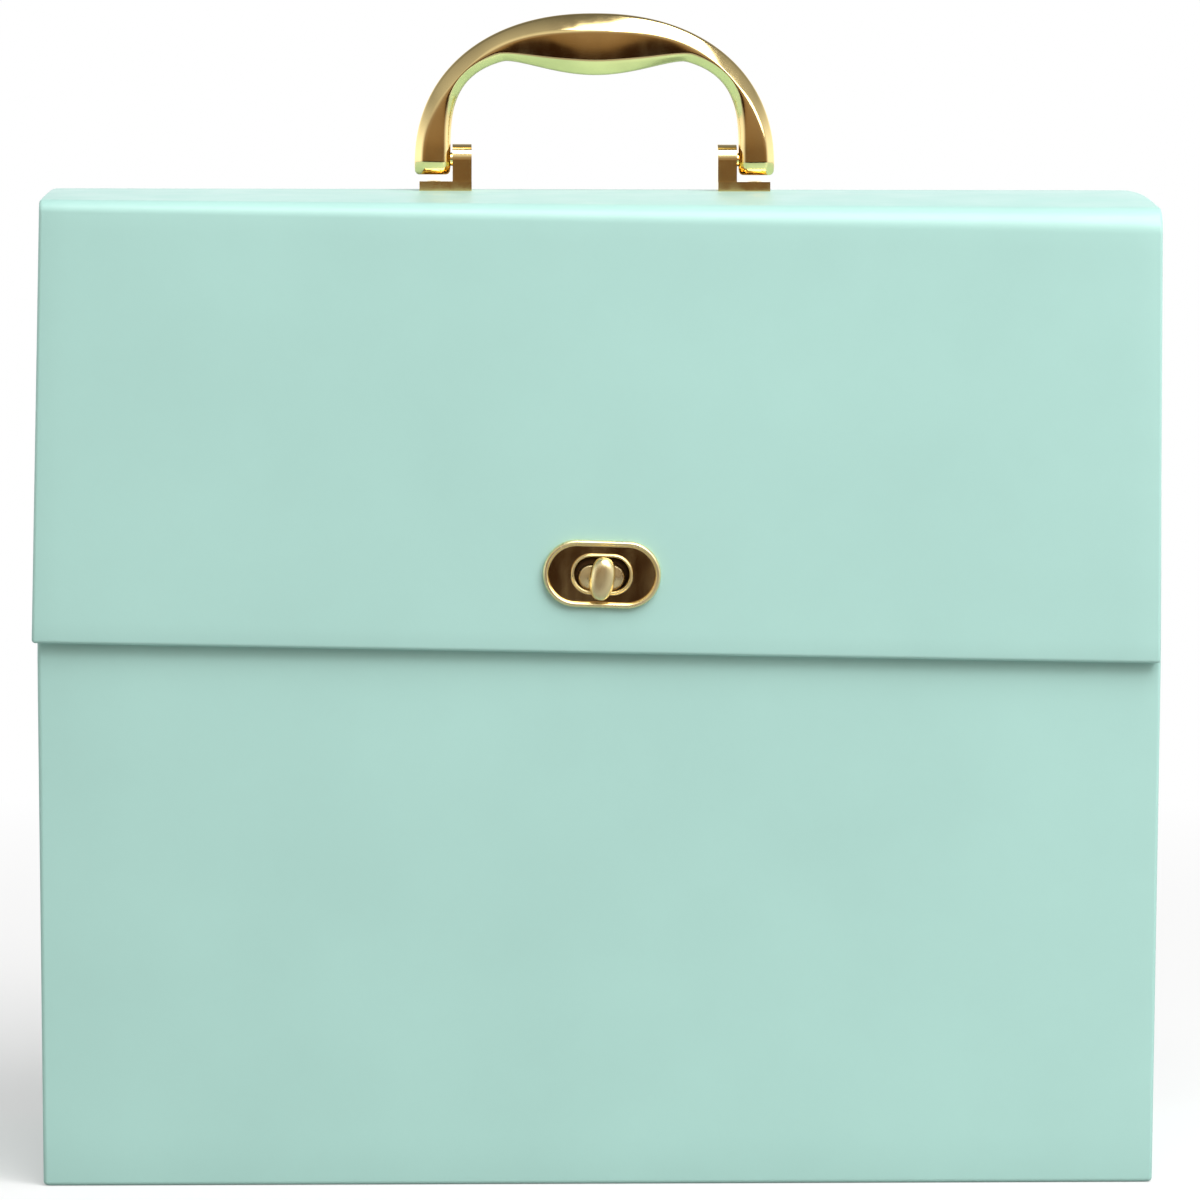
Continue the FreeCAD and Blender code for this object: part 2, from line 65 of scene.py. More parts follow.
def box_mm(node):
    """The lowest and highest corners of a CAD node, in millimetres."""
    low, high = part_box(node)
    return low / MM, high / MM


# ---------------------------------------------------------------- places read from the frame
WRAP_LOW, WRAP_HIGH = box_mm("case_wrap")
BOARD_HIGH = box_mm("right_wall")[1]
BOARD_BACK = box_mm("back_wall")[0].y
BOARD_SIDE = box_mm("right_wall")[0].x
LINING_TOP = box_mm("back_lining")[1].z
LINED_SIDE = box_mm("right_lining")[0].x
LINED_BACK = box_mm("back_lining")[0].y
LID_HIGH = box_mm("lid_wrap")[1]
FLAP_LOW = box_mm("flap_wrap")[0]
FOLD_LOW, FOLD_HIGH = box_mm("front_fold_strip")
STRIP_LOW, STRIP_HIGH = box_mm("rear_hinge_strip")
PLATE_LOW, PLATE_HIGH = box_mm("lock_face_plate")
TURRET_LOW, TURRET_HIGH = box_mm("lock_turret")
KNOB_HIGH = box_mm("turn_knob")[1]
HANDLE_LOW, HANDLE_HIGH = box_mm("handle")

LID_HALF = LID_HIGH.x
LID_TOP = LID_HIGH.z
CROWN = LID_TOP - FOLD_HIGH.z
FOLD_RADIUS = FOLD_HIGH.z - FOLD_LOW.z
LOCK_Z = (PLATE_LOW.z + PLATE_HIGH.z) / 2
TURRET_Z = (TURRET_LOW.z + TURRET_HIGH.z) / 2


# ---------------------------------------------------------------- mesh helpers
def piece(name, points, faces, material, sharp_angle=40):
    """A smooth-shaded mesh object from points in millimetres."""
    mesh = bpy.data.meshes.new(name)
    mesh.from_pydata([Vector(p) * MM for p in points], [], faces)
    mesh.validate()
    mesh.shade_smooth()
    mesh.set_sharp_from_angle(angle=radians(sharp_angle))
    mesh.materials.append(material)
    obj = bpy.data.objects.new(name, mesh)
    bpy.context.scene.collection.objects.link(obj)
    return obj


def ring_faces(ring_count, size, closed):
    """Quads between successive rings of points, and back to the first ring where closed."""
    faces = []
    for ring in range(ring_count if closed else ring_count - 1):
        here = ring * size
        there = (ring + 1) % ring_count * size
        for k in range(size):
            nxt = (k + 1) % size
            faces.append((here + k, here + nxt, there + nxt, there + k))
    return faces


def loft(name, rings, material, closed=False, sharp_angle=40):
    """A skin over rings of points. An open loft ends in flat caps."""
    size = len(rings[0])
    faces = ring_faces(len(rings), size, closed)
    if not closed:
        last = (len(rings) - 1) * size
        faces.append(tuple(reversed(range(size))))
        faces.append(tuple(range(last, last + size)))
    points = [p for ring in rings for p in ring]
    return piece(name, points, faces, material, sharp_angle)


def recalculate_normals(obj):
    """Points every face outwards."""
    work = bmesh.new()
    work.from_mesh(obj.data)
    bmesh.ops.recalc_face_normals(work, faces=work.faces)
    work.to_mesh(obj.data)
    work.free()


def applied(obj):
    """Bakes an object's modifiers into its mesh."""
    graph = bpy.context.evaluated_depsgraph_get()
    mesh = bpy.data.meshes.new_from_object(obj.evaluated_get(graph))
    obj.modifiers.clear()
    obj.data = mesh
    return obj


def stepped(start, end, count):
    """Evenly spaced values, both ends included."""
    return [start + (end - start) * n / count for n in range(count + 1)]


def smoothstep(low, high, value):
    """0 below low, 1 above high, and smooth between."""
    t = min(1.0, max(0.0, (value - low) / (high - low)))
    return t * t * (3 - 2 * t)


def rounded_rectangle(half_x, half_y, radius, z, side_x=12, side_y=6, corner=6):
    """A ring of points at height z, with the same number of points whatever its size."""
    points = []
    quarters = ((1, -1, -pi / 2), (1, 1, 0), (-1, 1, pi / 2), (-1, -1, pi))
    for n, (sx, sy, start) in enumerate(quarters):
        cx = sx * (half_x - radius)
        cy = sy * (half_y - radius)
        for angle in stepped(start, start + pi / 2, corner):
            points.append((cx + radius * cos(angle), cy + radius * sin(angle), z))
        nx, ny = quarters[(n + 1) % 4][:2]
        steps = side_y if n % 2 == 0 else side_x
        here = points[-1]
        there_x = nx * (half_x - radius) if n % 2 else here[0]
        there_y = here[1] if n % 2 else ny * (half_y - radius)
        for k in range(1, steps):
            t = k / steps
            points.append((here[0] + (there_x - here[0]) * t, here[1] + (there_y - here[1]) * t, z))
    return points


def stadium(length, height, straight=12, arc=20):
    """A ring of (x, z) points round a stadium centred on the origin, its long side along X."""
    radius = height / 2
    run = length / 2 - radius
    points = []
    for sign, start in ((1, -pi / 2), (-1, pi / 2)):
        for angle in stepped(start, start + pi, arc):
            points.append((sign * run + radius * cos(angle), radius * sin(angle)))
        for t in stepped(0, 1, straight)[1:-1]:
            points.append((sign * run * (1 - 2 * t), sign * radius))
    return points


def round_corners(corners, radius, segments):
    """A closed outline of (u, v) points with each corner rounded."""
    points = []
    count = len(corners)
    for n in range(count):
        here = Vector(corners[n])
        back = Vector(corners[n - 1]) - here
        ahead = Vector(corners[(n + 1) % count]) - here
        reach = min(radius, 0.45 * back.length, 0.45 * ahead.length)
        start = here + back.normalized() * reach
        end = here + ahead.normalized() * reach
        for t in stepped(0, 1, segments):
            points.append((1 - t) ** 2 * start + 2 * t * (1 - t) * here + t ** 2 * end)
    return points


# ---------------------------------------------------------------- materials
def new_material(name, colour, roughness, metallic=0.0):
    """A Principled material, with its node tree and shader."""
    material = bpy.data.materials.new(name)
    material.use_nodes = True
    nodes = material.node_tree.nodes
    shader = nodes["Principled BSDF"]
    shader.inputs["Base Color"].default_value = (*colour, 1)
    shader.inputs["Roughness"].default_value = roughness
    shader.inputs["Metallic"].default_value = metallic
    return material, nodes, material.node_tree.links, shader


def noise(nodes, links, scale, detail=4.0, roughness=0.55, stretch=(1, 1, 1)):
    """A noise texture in object space. Scale is in features per metre."""
    place = nodes.new("ShaderNodeTexCoord")
    mapping = nodes.new("ShaderNodeMapping")
    mapping.inputs["Scale"].default_value = stretch
    texture = nodes.new("ShaderNodeTexNoise")
    texture.inputs["Scale"].default_value = scale
    texture.inputs["Detail"].default_value = detail
    texture.inputs["Roughness"].default_value = roughness
    links.new(place.outputs["Object"], mapping.inputs["Vector"])
    links.new(mapping.outputs["Vector"], texture.inputs["Vector"])
    return texture.outputs["Fac"]


def ramp(nodes, links, source, stops):
    """A colour ramp over a value. Stops are (position, colour)."""
    node = nodes.new("ShaderNodeValToRGB")
    elements = node.color_ramp.elements
    while len(elements) < len(stops):
        elements.new(0.5)
    for element, (position, colour) in zip(elements, stops):
        element.position = position
        element.color = (*colour, 1)
    links.new(source, node.inputs["Fac"])
    return node.outputs["Color"]


def value_range(nodes, links, source, low, high, start=0.3, end=0.7):
    """A value from low to high as the source goes from start to end."""
    node = nodes.new("ShaderNodeMapRange")
    node.inputs["From Min"].default_value = start
    node.inputs["From Max"].default_value = end
    node.inputs["To Min"].default_value = low
    node.inputs["To Max"].default_value = high
    links.new(source, node.inputs["Value"])
    return node.outputs["Result"]


def bumps(nodes, links, shader, layers):
    """Bump layers one on another. Layers are (height source, strength, distance in metres)."""
    normal = None
    for height, strength, distance in layers:
        node = nodes.new("ShaderNodeBump")
        node.inputs["Strength"].default_value = strength
        node.inputs["Distance"].default_value = distance
        links.new(height, node.inputs["Height"])
        if normal is not None:
            links.new(normal, node.inputs["Normal"])
        normal = node.outputs["Normal"]
    links.new(normal, shader.inputs["Normal"])


def shades(colour, spread):
    """A darker and a lighter version of a colour."""
    darker = tuple(c * (1 - spread) for c in colour)
    lighter = tuple(min(1, c * (1 + spread)) for c in colour)
    return darker, lighter


def paper_material(name, colour, roughness, spread=0.03, grain=1.0):
    """Smooth coated paper pasted on board: faint mottling, fine grain and gentle waves."""
    material, nodes, links, shader = new_material(name, colour, roughness)
    darker, lighter = shades(colour, spread)
    clouds = noise(nodes, links, 14, detail=5)
    links.new(ramp(nodes, links, clouds, [(0.3, darker), (0.7, lighter)]), shader.inputs["Base Color"])
    patches = noise(nodes, links, 60, detail=3)
    links.new(
        value_range(nodes, links, patches, roughness - 0.05, roughness + 0.06),
        shader.inputs["Roughness"],
    )
    fibres = noise(nodes, links, 1400, detail=3, roughness=0.6)
    pulp = noise(nodes, links, 380, detail=4)
    waves = noise(nodes, links, 11, detail=1)
    bumps(nodes, links, shader, [
        (waves, 0.25, 0.0012), (pulp, 0.10 * grain, 0.00022), (fibres, 0.12 * grain, 0.00008),
    ])
    return material


def gold_material(name, colour, roughness):
    """Polished gold plate with faint smears and hairlines."""
    material, nodes, links, shader = new_material(name, colour, roughness, metallic=1.0)
    darker, lighter = shades(colour, 0.05)
    tarnish = noise(nodes, links, 90, detail=4)
    links.new(ramp(nodes, links, tarnish, [(0.35, darker), (0.65, lighter)]), shader.inputs["Base Color"])
    smears = noise(nodes, links, 240, detail=5, stretch=(1, 1, 0.35))
    links.new(
        value_range(nodes, links, smears, roughness * 0.7, roughness * 1.5),
        shader.inputs["Roughness"],
    )
    hairlines = noise(nodes, links, 2600, detail=2, stretch=(1, 1, 0.08))
    dents = noise(nodes, links, 120, detail=1)
    bumps(nodes, links, shader, [(dents, 0.10, 0.0002), (hairlines, 0.03, 0.00003)])
    return material


def steel_material(name, colour):
    """Plain stamped steel."""
    material, nodes, links, shader = new_material(name, colour, 0.34, metallic=1.0)
    brushed = noise(nodes, links, 700, detail=3, stretch=(1, 0.1, 1))
    links.new(value_range(nodes, links, brushed, 0.26, 0.44), shader.inputs["Roughness"])
    bumps(nodes, links, shader, [(brushed, 0.08, 0.00006)])
    return material


def board_material(name, colour):
    """Bare grey-brown board, seen only at cut edges."""
    material, nodes, links, shader = new_material(name, colour, 0.9)
    flecks = noise(nodes, links, 900, detail=6, roughness=0.7)
    darker, lighter = shades(colour, 0.2)
    links.new(ramp(nodes, links, flecks, [(0.35, darker), (0.65, lighter)]), shader.inputs["Base Color"])
    bumps(nodes, links, shader, [(flecks, 0.35, 0.00025)])
    return material


def lining_material(name, colour):
    """Uncoated cream paper with a laid texture and short fibres."""
    material, nodes, links, shader = new_material(name, colour, 0.78)
    darker, lighter = shades(colour, 0.05)
    fibres = noise(nodes, links, 500, detail=6, roughness=0.72)
    links.new(ramp(nodes, links, fibres, [(0.3, darker), (0.62, lighter)]), shader.inputs["Base Color"])
    laid = noise(nodes, links, 900, detail=2, stretch=(1, 1, 0.12))
    bumps(nodes, links, shader, [(fibres, 0.22, 0.00015), (laid, 0.10, 0.0001)])
    return material


def ribbon_material(name, colour):
    """Satin ribbon: fine ribs across its width and a soft sheen."""
    material, nodes, links, shader = new_material(name, colour, 0.42)
    place = nodes.new("ShaderNodeTexCoord")
    ribs = nodes.new("ShaderNodeTexWave")
    ribs.bands_direction = "Z"
    ribs.inputs["Scale"].default_value = 520
    ribs.inputs["Distortion"].default_value = 0.4
    links.new(place.outputs["Object"], ribs.inputs["Vector"])
    darker, lighter = shades(colour, 0.08)
    links.new(
        ramp(nodes, links, ribs.outputs["Fac"], [(0.2, darker), (0.8, lighter)]),
        shader.inputs["Base Color"],
    )
    shader.inputs["Sheen Weight"].default_value = 0.4
    bumps(nodes, links, shader, [(ribs.outputs["Fac"], 0.3, 0.0001)])
    return material


def wood_material(name, colour):
    """Pale softwood with grain along Y."""
    material, nodes, links, shader = new_material(name, colour, 0.6)
    grain = noise(nodes, links, 260, detail=5, stretch=(1, 0.06, 1))
    darker, lighter = shades(colour, 0.28)
    links.new(ramp(nodes, links, grain, [(0.35, darker), (0.65, lighter)]), shader.inputs["Base Color"])
    bumps(nodes, links, shader, [(grain, 0.2, 0.0002)])
    return material


MINT = (0.458, 0.755, 0.695)
CREAM = (0.80, 0.74, 0.60)
PALE_CREAM = (0.82, 0.77, 0.65)
GOLD = (0.96, 0.75, 0.35)
# a paler gold whose lighter colour is painted highlight, for the lock's raised rim, turret and knob
PAINTED_HIGHLIGHT_GOLD = (0.98, 0.83, 0.46)
# near-black brass: painted shade for the inside of the lock's hole
HOLE_SHADE_COLOUR = (0.16, 0.10, 0.05)
STEEL_GREY = (0.50, 0.49, 0.47)
BOARD_BROWN = (0.46, 0.39, 0.30)
LEDGE_BROWN = (0.58, 0.42, 0.25)
RIBBON_MINT = (0.52, 0.74, 0.68)

mint_paper = paper_material("mint_paper", MINT, 0.36)
cream_paper = lining_material("cream_lining", CREAM)
tray_paper = lining_material("tray_paper", PALE_CREAM)
gold = gold_material("polished_gold", GOLD, 0.10)
# rougher satin finish is real; its paler colour is painted highlight
satin_highlight_gold = gold_material("satin_highlight_gold", PAINTED_HIGHLIGHT_GOLD, 0.27)
# painted shade: near-black brass for the keyhole collar and the turret's base plate
painted_shade_brass = gold_material("painted_shade_brass", HOLE_SHADE_COLOUR, 0.4)
steel = steel_material("stamped_steel", STEEL_GREY)
bare_board = board_material("bare_board", BOARD_BROWN)
ledge_wood = wood_material("ledge_wood", LEDGE_BROWN)
ribbon = ribbon_material("satin_ribbon", RIBBON_MINT)


# ---------------------------------------------------------------- the case
CASE_WAIST_Z = 150.0
CASE_FOOT_INSET = 1.1
CASE_RIM_INSET = 1.3
COVER_EDGE = 1.3
COVER_RIM = 0.8
PANEL_BOW = 0.28
BOARD_GAP = 0.02
END_SHEET_MARGIN = 8.0
END_SHEET_INSET_Z = 5.0


def side_inset(z):
    """How far each end of the case stands inside its greatest width, at a height."""
    if z < CASE_WAIST_Z:
        return CASE_FOOT_INSET * (1 - z / CASE_WAIST_Z)
    return CASE_RIM_INSET * ((z - CASE_WAIST_Z) / (WRAP_HIGH.z - CASE_WAIST_Z)) ** 1.5


def rim_lift(y, z):
    """How far the ends' rims rise in the middle, to follow the bowed lid above them."""
    across = max(0.0, 1 - (y / FOLD_HIGH.y) ** 2)
    return CROWN * across * smoothstep(LINING_TOP + 1, WRAP_HIGH.z, z)


def case_cover():
    """The mint paper round the case: outside, over the rim and down inside to the linings."""
    side, back, top = WRAP_HIGH.x, WRAP_HIGH.y, WRAP_HIGH.z
    edge, rim = COVER_EDGE, COVER_RIM
    rings = [rounded_rectangle(side - edge, back - edge, edge, 0.0)]
    for angle in stepped(0, pi / 2, 5)[1:]:
        inset = edge * (1 - sin(angle))
        height = edge * (1 - cos(angle))
        rings.append(rounded_rectangle(side - inset, back - inset, edge, height))
    for height in stepped(edge, top - rim, 22)[1:]:
        rings.append(bowed_ring(rounded_rectangle(side, back, edge, height), top))
    for angle in stepped(0, pi / 2, 4)[1:]:
        inset = rim * (1 - cos(angle))
        rings.append(rounded_rectangle(side - inset, back - inset, edge, top - rim + rim * sin(angle)))
    rings = [[(x - side_inset(z) * x / side, y, z) for x, y, z in ring] for ring in rings]
    inner_x, inner_y = LINED_SIDE, LINED_BACK
    for angle in stepped(pi / 2, 0, 4):
        inset = rim * (1 - cos(angle))
        height = top - rim + rim * sin(angle)
        rings.append(rounded_rectangle(inner_x + inset, inner_y + inset, 0.6, height))
    for height in stepped(top - rim, LINING_TOP + 0.2, 4)[1:]:
        rings.append(rounded_rectangle(inner_x, inner_y, 0.6, height))
    rings.append(rounded_rectangle(inner_x + 0.1, inner_y + 0.1, 0.6, LINING_TOP))
    board_top = BOARD_HIGH.z + BOARD_GAP
    for height in (LINING_TOP, board_top):
        rings.append(rounded_rectangle(BOARD_SIDE - BOARD_GAP, BOARD_BACK - BOARD_GAP, 0.6, height))
    for height in stepped(board_top, WRAP_LOW.z, 8):
        half_x = BOARD_HIGH.x + BOARD_GAP - side_inset(height)
        rings.append(rounded_rectangle(half_x, BOARD_HIGH.y + BOARD_GAP, 0.3, height))
    rings = [[(x, y, z + rim_lift(y, z)) for x, y, z in ring] for ring in rings]
    return loft("case_cover", rings, mint_paper)


def bowed_ring(ring, top):
    """Lets the front and back papers stand a fraction proud in the middle of each panel."""
    points = []
    for x, y, z in ring:
        across = max(0.0, 1 - (x / WRAP_HIGH.x) ** 2)
        lift = PANEL_BOW * across * sin(pi * z / top)
        points.append((x, y + (lift if y > 0 else -lift), z))
    return points


def end_board(name, sign):
    """The board at one end of the case, which leans in towards its foot and its rim."""
    low, high = box_mm(name)
    rings = []
    for z in stepped(low.z, high.z, 12):
        outer = BOARD_HIGH.x - side_inset(z)
        section = [(BOARD_SIDE, low.y), (BOARD_SIDE, high.y), (outer, high.y), (outer, low.y)]
        rings.append([(sign * x, y, z) for x, y in round_corners(section, 0.3, 2)])
    obj = loft(name + "_board", rings, bare_board)
    recalculate_normals(obj)
    return obj


def side_sheet(name, sign):
    """The paper laid over the turned edges on one end of the case."""
    half_y = WRAP_HIGH.y - END_SHEET_MARGIN
    middle = WRAP_HIGH.z / 2
    half_z = middle - END_SHEET_INSET_Z
    rings = []
    for inset, out in ((0.0, -0.05), (0.0, 0.08), (0.12, 0.17), (0.6, 0.2)):
        outline = rounded_rectangle(half_y - inset, half_z - inset, 0.8, 0, side_x=4, side_y=20)
        places = [(p[0], middle + p[1]) for p in outline]
        rings.append([
            (sign * (WRAP_HIGH.x - side_inset(z) + out), y, z + rim_lift(y, z)) for y, z in places
        ])
    if sign < 0:
        rings = [list(reversed(ring)) for ring in rings]
    return loft(name, rings, mint_paper)


cover = case_cover()
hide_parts("case_wrap", "base_paper")
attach(cover, "case")
for wall_name, wall_sign in (("left_wall", -1), ("right_wall", 1)):
    wall = end_board(wall_name, wall_sign)
    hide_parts(wall_name)
    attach(wall, "case")
for sheet_name, sheet_sign in (("left_end_sheet", -1), ("right_end_sheet", 1)):
    end_sheet = side_sheet(sheet_name, sheet_sign)
    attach(end_sheet, "case")


# ---------------------------------------------------------------- the lid and flap
CROWN_RADIUS = (FOLD_HIGH.y ** 2 + CROWN ** 2) / (2 * CROWN)
COVER_THICKNESS = 3.2
# slopes of the flap's bottom edge and of its sides, and where on the lid the slope starts
SKEW = 0.0186
LEAN = 0.0085
SKEW_START_Y = -20.0
FOLD_SHARE = 0.3
EDGE = 1.0
# how much each side stands inside the CAD lid's, at the fold and at the flap's bottom
LID_NARROWING = 1.7
FLAP_NARROWING = 0.1
FLAP_BOTTOM = FLAP_LOW.z - 0.45
LINING_FOLD_MARGIN = 9.5
LOCK_HOLE = (20.0, 13.6)


def lid_path():
    """Stations along the outside of the lid and flap: (y, z, inward normal, share of the skew)."""
    stations = []
    centre_z = LID_TOP - CROWN_RADIUS
    for y in stepped(LID_HIGH.y - EDGE, FOLD_HIGH.y, 26):
        z = centre_z + sqrt(CROWN_RADIUS ** 2 - y ** 2)
        normal = Vector((-y, centre_z - z)).normalized()
        stations.append((y, z, normal, FOLD_SHARE * smoothstep(SKEW_START_Y, FOLD_HIGH.y, y)))
    fold_centre = (FOLD_HIGH.y, FOLD_LOW.z)
    for angle in stepped(0, pi / 2, 12)[1:]:
        y = fold_centre[0] - FOLD_RADIUS * sin(angle)
        z = fold_centre[1] + FOLD_RADIUS * cos(angle)
        normal = Vector((sin(angle), -cos(angle)))
        share = FOLD_SHARE + (1 - FOLD_SHARE) * angle / (pi / 2)
        stations.append((y, z, normal, share))
    for z in stepped(FOLD_LOW.z, FLAP_BOTTOM + EDGE, 24)[1:]:
        stations.append((FLAP_LOW.y, z, Vector((1, 0)), 1.0))
    return stations


def slab_ring(half_width, inset, thickness):
    """A ring of (x, depth) round the slab's section, from its left middle over the outer face."""
    radius = max(0.15, EDGE - inset)
    left = -half_width + inset
    outer, inner = inset, thickness - inset
    middle = (outer + inner) / 2
    half = [(left, middle)]
    for angle in stepped(0, pi / 2, 4):
        half.append((left + radius * (1 - cos(angle)), outer + radius * (1 - sin(angle))))
    flat = stepped(left + radius, -left - radius, 44)[1:-1]
    outer_face = half[1:] + [(x, outer) for x in flat] + [(-x, d) for x, d in reversed(half[1:])]
    inner_face = [(-x, 2 * middle - d) for x, d in outer_face]
    return [half[0]] + outer_face + [(-left, middle)] + inner_face


def skewed(x, y, z, share, depth):
    """Turns the flap a little in its own plane, and moves it a little to the left."""
    drop = FOLD_LOW.z - z
    side = -LEAN * max(0.0, drop) * share
    fade = 1 if share >= FOLD_SHARE and y < FOLD_HIGH.y else max(0.0, 1 - depth / COVER_THICKNESS)
    return (x + side, y, z - SKEW * x * share * fade)


def lid_cover():
    """The lid and its flap: one papered skin of boards, rounded where it folds."""
    stations = lid_path()
    first, last = stations[0], stations[-1]
    sections = []
    for angle in stepped(pi / 2, 0, 4)[:-1]:
        y = first[0] + EDGE * sin(angle)
        sections.append(((y, first[1], first[2], first[3]), EDGE * (1 - cos(angle))))
    sections += [(station, 0.0) for station in stations]
    for angle in stepped(0, pi / 2, 4)[1:]:
        z = last[1] - EDGE * sin(angle)
        sections.append(((last[0], z, last[2], last[3]), EDGE * (1 - cos(angle))))
    points = []
    for (y, z, normal, share), inset in sections:
        flare = (FOLD_LOW.z - z) / (FOLD_LOW.z - FLAP_BOTTOM)
        flare = min(1.0, max(0.0, flare))
        half_width = LID_HALF - LID_NARROWING + (LID_NARROWING - FLAP_NARROWING) * flare
        for x, depth in slab_ring(half_width, inset, COVER_THICKNESS):
            at_y = y + normal.x * depth
            at_z = z + normal.y * depth
            points.append(skewed(x, at_y, at_z, share, depth))
    size = len(slab_ring(LID_HALF, 0, COVER_THICKNESS))
    count = len(sections)
    faces = [tuple(reversed(f)) for f in ring_faces(count, size, False)]
    faces += end_cap(0, size, flip=False) + end_cap((count - 1) * size, size, flip=True)
    return piece("lid_cover", points, faces, mint_paper)


def end_cap(start, size, flip):
    """Quads across a slab's end, from its outer face to its inner one."""
    faces = []
    for k in range(size // 2):
        corners = [start + k, start + k + 1, start + size - k - 1, start + (size - k) % size]
        corners = list(dict.fromkeys(corners))
        faces.append(tuple(reversed(corners)) if flip else tuple(corners))
    return faces


def stadium_cutter(length, height, y0, y1, middle_z):
    """A stadium prism along Y, to cut the lock's hole with."""
    rings = [[(x, y, middle_z + z) for x, z in stadium(length, height)] for y in (y0, y1)]
    return loft("cutter", rings, mint_paper)


def cut_lock_hole(obj):
    """Cuts the stadium-shaped hole for the lock through a flap piece."""
    recalculate_normals(obj)
    cutter = stadium_cutter(*LOCK_HOLE, FLAP_LOW.y - 5, FLAP_LOW.y + 8, LOCK_Z)
    recalculate_normals(cutter)
    cut = obj.modifiers.new("lock_hole", "BOOLEAN")
    cut.object = cutter
    cut.solver = "EXACT"
    applied(obj)
    bpy.data.objects.remove(cutter)
    obj.data.set_sharp_from_angle(angle=radians(40))


def flap_lining_sheet():
    """The cream paper inside the flap. It leans with the flap and stops short of the fold."""
    low, high = box_mm("flap_lining")
    top = high.z - LINING_FOLD_MARGIN
    middle = (low.z + top) / 2
    half_x, half_z = high.x - FLAP_NARROWING, (top - low.z) / 2
    back = FLAP_LOW.y + COVER_THICKNESS
    rings = []
    for inset, y in ((0.0, back - 0.1), (0.0, back + 0.2), (0.08, back + 0.3)):
        outline = rounded_rectangle(half_x - inset, half_z - inset, 1.5, 0)
        rings.append([skewed(p[0], y, middle + p[1], 1.0, 0.0) for p in outline])
    return loft("flap_lining_paper", rings, cream_paper)


lid_skin = lid_cover()
cut_lock_hole(lid_skin)
flap_lining = flap_lining_sheet()
cut_lock_hole(flap_lining)
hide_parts("flap_lining")
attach(flap_lining, "flap")
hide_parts("lid_wrap", "lid_board", "flap_wrap", "flap_board", "front_fold_strip")
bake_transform(lid_skin)

# ---------------------------------------------------------------- the paper hinge at the back
HINGE_PAPER = 0.38
HINGE_TOP_GAP = 0.9
HINGE_END_MARGIN = 1.6


def hinge_cloth():
    """The strip of mint paper that hinges the lid to the back wall."""
    inside, outside = WRAP_HIGH.y - 0.05, WRAP_HIGH.y + HINGE_PAPER
    top = STRIP_HIGH.z - HINGE_TOP_GAP
    half = WRAP_HIGH.x - CASE_RIM_INSET - HINGE_END_MARGIN
    rings = []
    for x in stepped(-half, half, 30):
        ring = [(x, inside, z) for z in stepped(STRIP_LOW.z, top, 14)]
        ring += [(x, outside, z) for z in stepped(top, STRIP_LOW.z, 14)]
        rings.append(ring)
    return loft("rear_hinge_paper", rings, mint_paper)


hinge = hinge_cloth()
recalculate_normals(hinge)
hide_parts("rear_hinge_strip")
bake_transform(hinge)


# ---------------------------------------------------------------- the handle
ARCH_CENTRE = LID_TOP + 7.5
ARCH_OUTER = (HANDLE_HIGH.x, HANDLE_HIGH.z - ARCH_CENTRE, 2.2)
ARCH_INNER = (42.6, 32.4, 3.65)
GRIP_DROP, GRIP_REACH, GRIP_POWER = 5.8, 26.8, 1.25
# half-depth, chamfer widths outside and inside, half-depths of the outer and inner edges
LEG = (4.5, 2.4, 2.0, 2.2, 2.7)
SHOULDER = (4.0, 3.9, 2.5, 1.3, 1.7)
GRIP = (6.5, 5.0, 3.9, 2.6, 3.4)


def arch_point(shape, angle):
    """A point of a superellipse at an angle up from the right-hand leg."""
    half_span, rise, power = shape
    c, s = cos(angle), sin(angle)
    reach = ((abs(c) / half_span) ** power + (abs(s) / rise) ** power) ** (-1 / power)
    return Vector((reach * c, reach * s))


def handle_shape(angle):
    """The section's measures at an angle: legs, slim shoulders, then the full grip."""
    from_leg = min(angle, pi - angle)
    to_shoulder = smoothstep(radians(6), radians(32), from_leg)
    to_grip = smoothstep(radians(50), radians(84), from_leg)
    shape = []
    for leg, shoulder, grip in zip(LEG, SHOULDER, GRIP):
        slim = leg + (shoulder - leg) * to_shoulder
        shape.append(slim + (grip - slim) * to_grip)
    return shape


def handle_section(outer, inner, shape, shrink_r=0.0, shrink_y=0.0, drop=0.0):
    """A ring across the handle between an outer and an inner point of its outline."""
    half_depth, chamfer_out, chamfer_in, edge_out, edge_in = shape
    middle = (outer + inner) / 2
    across = (outer - inner).normalized()
    half = (outer - inner).length / 2
    flat_out = half - chamfer_out
    flat_in = -half + chamfer_in
    corners = [
        (half, edge_out), (half, -edge_out), (flat_out, -half_depth), (flat_in, -half_depth),
        (-half, -edge_in), (-half, edge_in), (flat_in, half_depth), (flat_out, half_depth),
    ]
    ring = []
    for r, y in round_corners(corners, 0.9, 4):
        r *= (half - shrink_r) / half
        y *= (half_depth - shrink_y) / half_depth
        place = middle + across * r
        ring.append((place.x, y, ARCH_CENTRE + place.y - drop))
    return ring


